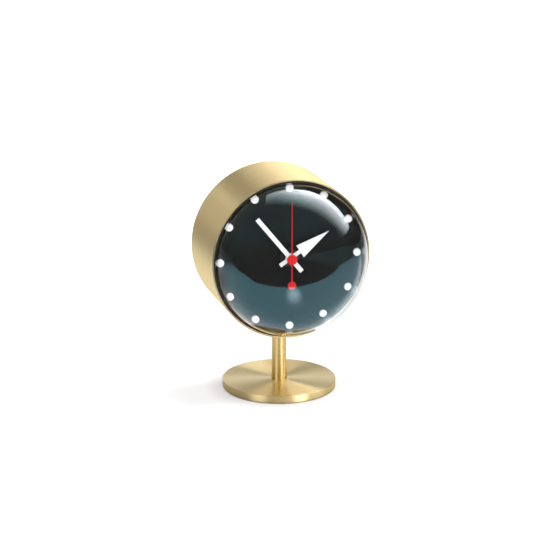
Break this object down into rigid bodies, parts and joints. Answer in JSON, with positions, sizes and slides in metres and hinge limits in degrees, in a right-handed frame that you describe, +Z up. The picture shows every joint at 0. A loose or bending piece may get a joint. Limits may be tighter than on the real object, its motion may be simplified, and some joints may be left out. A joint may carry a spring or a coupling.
{
  "type": "table clock",
  "caption": "Table clock: horizontal brass drum on a short post and round base, domed clear lens, black dial with raised round dots, white hands and a red second hand.",
  "frame": {"origin": "centre of the face that the clock stands on, on the axis of its post", "axes": "+Z up along the post, the dial faces -Y, +X to the right of someone who reads the dial"},
  "size_m": [0.108, 0.1004, 0.151],
  "materials": {
    "satin_brass": "lathe-brushed satin",
    "movement_brass": "bright turned",
    "steel": "satin",
    "black_plastic": "fine moulded matt",
    "black_paint": "satin black",
    "white_paint": "satin white",
    "white_peg": "satin white",
    "red_paint": "satin red",
    "clear_dome": "clear polished",
    "gear_plastic": "moulded",
    "pad_rubber": "matt",
    "coil_copper": "enamelled wire",
    "board": "lacquered",
    "lead_red": "insulated wire",
    "battery_steel": "plain jacket",
    "rotor_magnet": "sintered"
  },
  "bodies": {
    "stand_and_case": {"base_disc": "satin_brass", "base_pad": "pad_rubber", "base_screw": "steel", "stem": "satin_brass", "saddle_washer": "steel", "stem_screw": "steel", "case_drum": "satin_brass", "lens_seat_ring": "black_plastic", "lens": "clear_dome", "dial": "black_paint", "hour_dots": "white_peg", "inner_frame": "black_plastic", "rear_cover": "black_plastic", "cover_screws": "steel", "battery": "battery_steel", "spring_contact": "steel", "plate_contact": "steel", "battery_leads": "lead_red", "movement_front_shell": "black_plastic", "movement_rear_shell": "black_plastic", "train_plate": "gear_plastic", "movement_gasket": "pad_rubber", "dial_washer": "steel", "dial_nut": "steel", "stator": "steel", "coil": "coil_copper", "circuit_board": "board", "quartz_crystal": "steel", "control_chip": "black_plastic"},
    "battery_flap": {"battery_door": "black_plastic"},
    "second_hand_set": {"second_arbor": "steel", "second_wheel": "gear_plastic", "second_hand": "red_paint", "second_hand_boss": "red_paint"},
    "third_set": {"third_wheel": "gear_plastic"},
    "centre_set": {"centre_wheel": "movement_brass", "clutch_washer": "steel"},
    "intermediate_set": {"intermediate_wheel": "gear_plastic"},
    "rotor_set": {"rotor": "rotor_magnet"},
    "minute_hand_set": {"cannon_pinion": "movement_brass", "minute_hand": "white_paint"},
    "hour_hand_set": {"hour_wheel": "gear_plastic", "hour_hand": "white_paint"},
    "setting_set": {"motion_wheel": "gear_plastic", "setting_rod": "steel", "setting_knob": "black_plastic"}
  },
  "joints": [
    {"name": "battery_door_hinge", "type": "hinge", "parent": "stand_and_case", "child": "battery_flap", "pos_m": [0, 0.017, 0.0607], "axis": [-1, 0, 0], "range_deg": [0, 100]},
    {"name": "second_hand_spin", "type": "hinge", "parent": "stand_and_case", "child": "second_hand_set", "pos_m": [0, 0, 0.097], "axis": [0, 1, 0], "continuous": true},
    {"name": "third_wheel_spin", "type": "hinge", "parent": "stand_and_case", "child": "third_set", "pos_m": [-0.00752, 0, 0.09426], "axis": [0, 1, 0], "continuous": true},
    {"name": "centre_wheel_spin", "type": "hinge", "parent": "stand_and_case", "child": "centre_set", "pos_m": [0, 0, 0.097], "axis": [0, 1, 0], "continuous": true},
    {"name": "intermediate_wheel_spin", "type": "hinge", "parent": "stand_and_case", "child": "intermediate_set", "pos_m": [0.00514, 0, 0.09087], "axis": [0, 1, 0], "continuous": true},
    {"name": "rotor_spin", "type": "hinge", "parent": "stand_and_case", "child": "rotor_set", "pos_m": [0.0112, 0, 0.08737], "axis": [0, 1, 0], "continuous": true},
    {"name": "minute_hand_turn", "type": "hinge", "parent": "stand_and_case", "child": "minute_hand_set", "pos_m": [0, 0, 0.097], "axis": [0, 1, 0], "continuous": true},
    {"name": "hour_hand_turn", "type": "hinge", "parent": "stand_and_case", "child": "hour_hand_set", "pos_m": [0, 0, 0.097], "axis": [0, 1, 0], "continuous": true},
    {"name": "setting_knob_turn", "type": "hinge", "parent": "stand_and_case", "child": "setting_set", "pos_m": [0, 0, 0.1065], "axis": [0, 1, 0], "continuous": true}
  ],
  "couplings": [
    {"joint": "third_wheel_spin", "follows": "second_hand_spin", "ratio": -0.13333},
    {"joint": "centre_wheel_spin", "follows": "second_hand_spin", "ratio": 0.016667},
    {"joint": "intermediate_wheel_spin", "follows": "second_hand_spin", "ratio": -5},
    {"joint": "rotor_spin", "follows": "second_hand_spin", "ratio": 30},
    {"joint": "hour_hand_turn", "follows": "minute_hand_turn", "ratio": 0.083333},
    {"joint": "setting_knob_turn", "follows": "minute_hand_turn", "ratio": -0.33333}
  ]
}
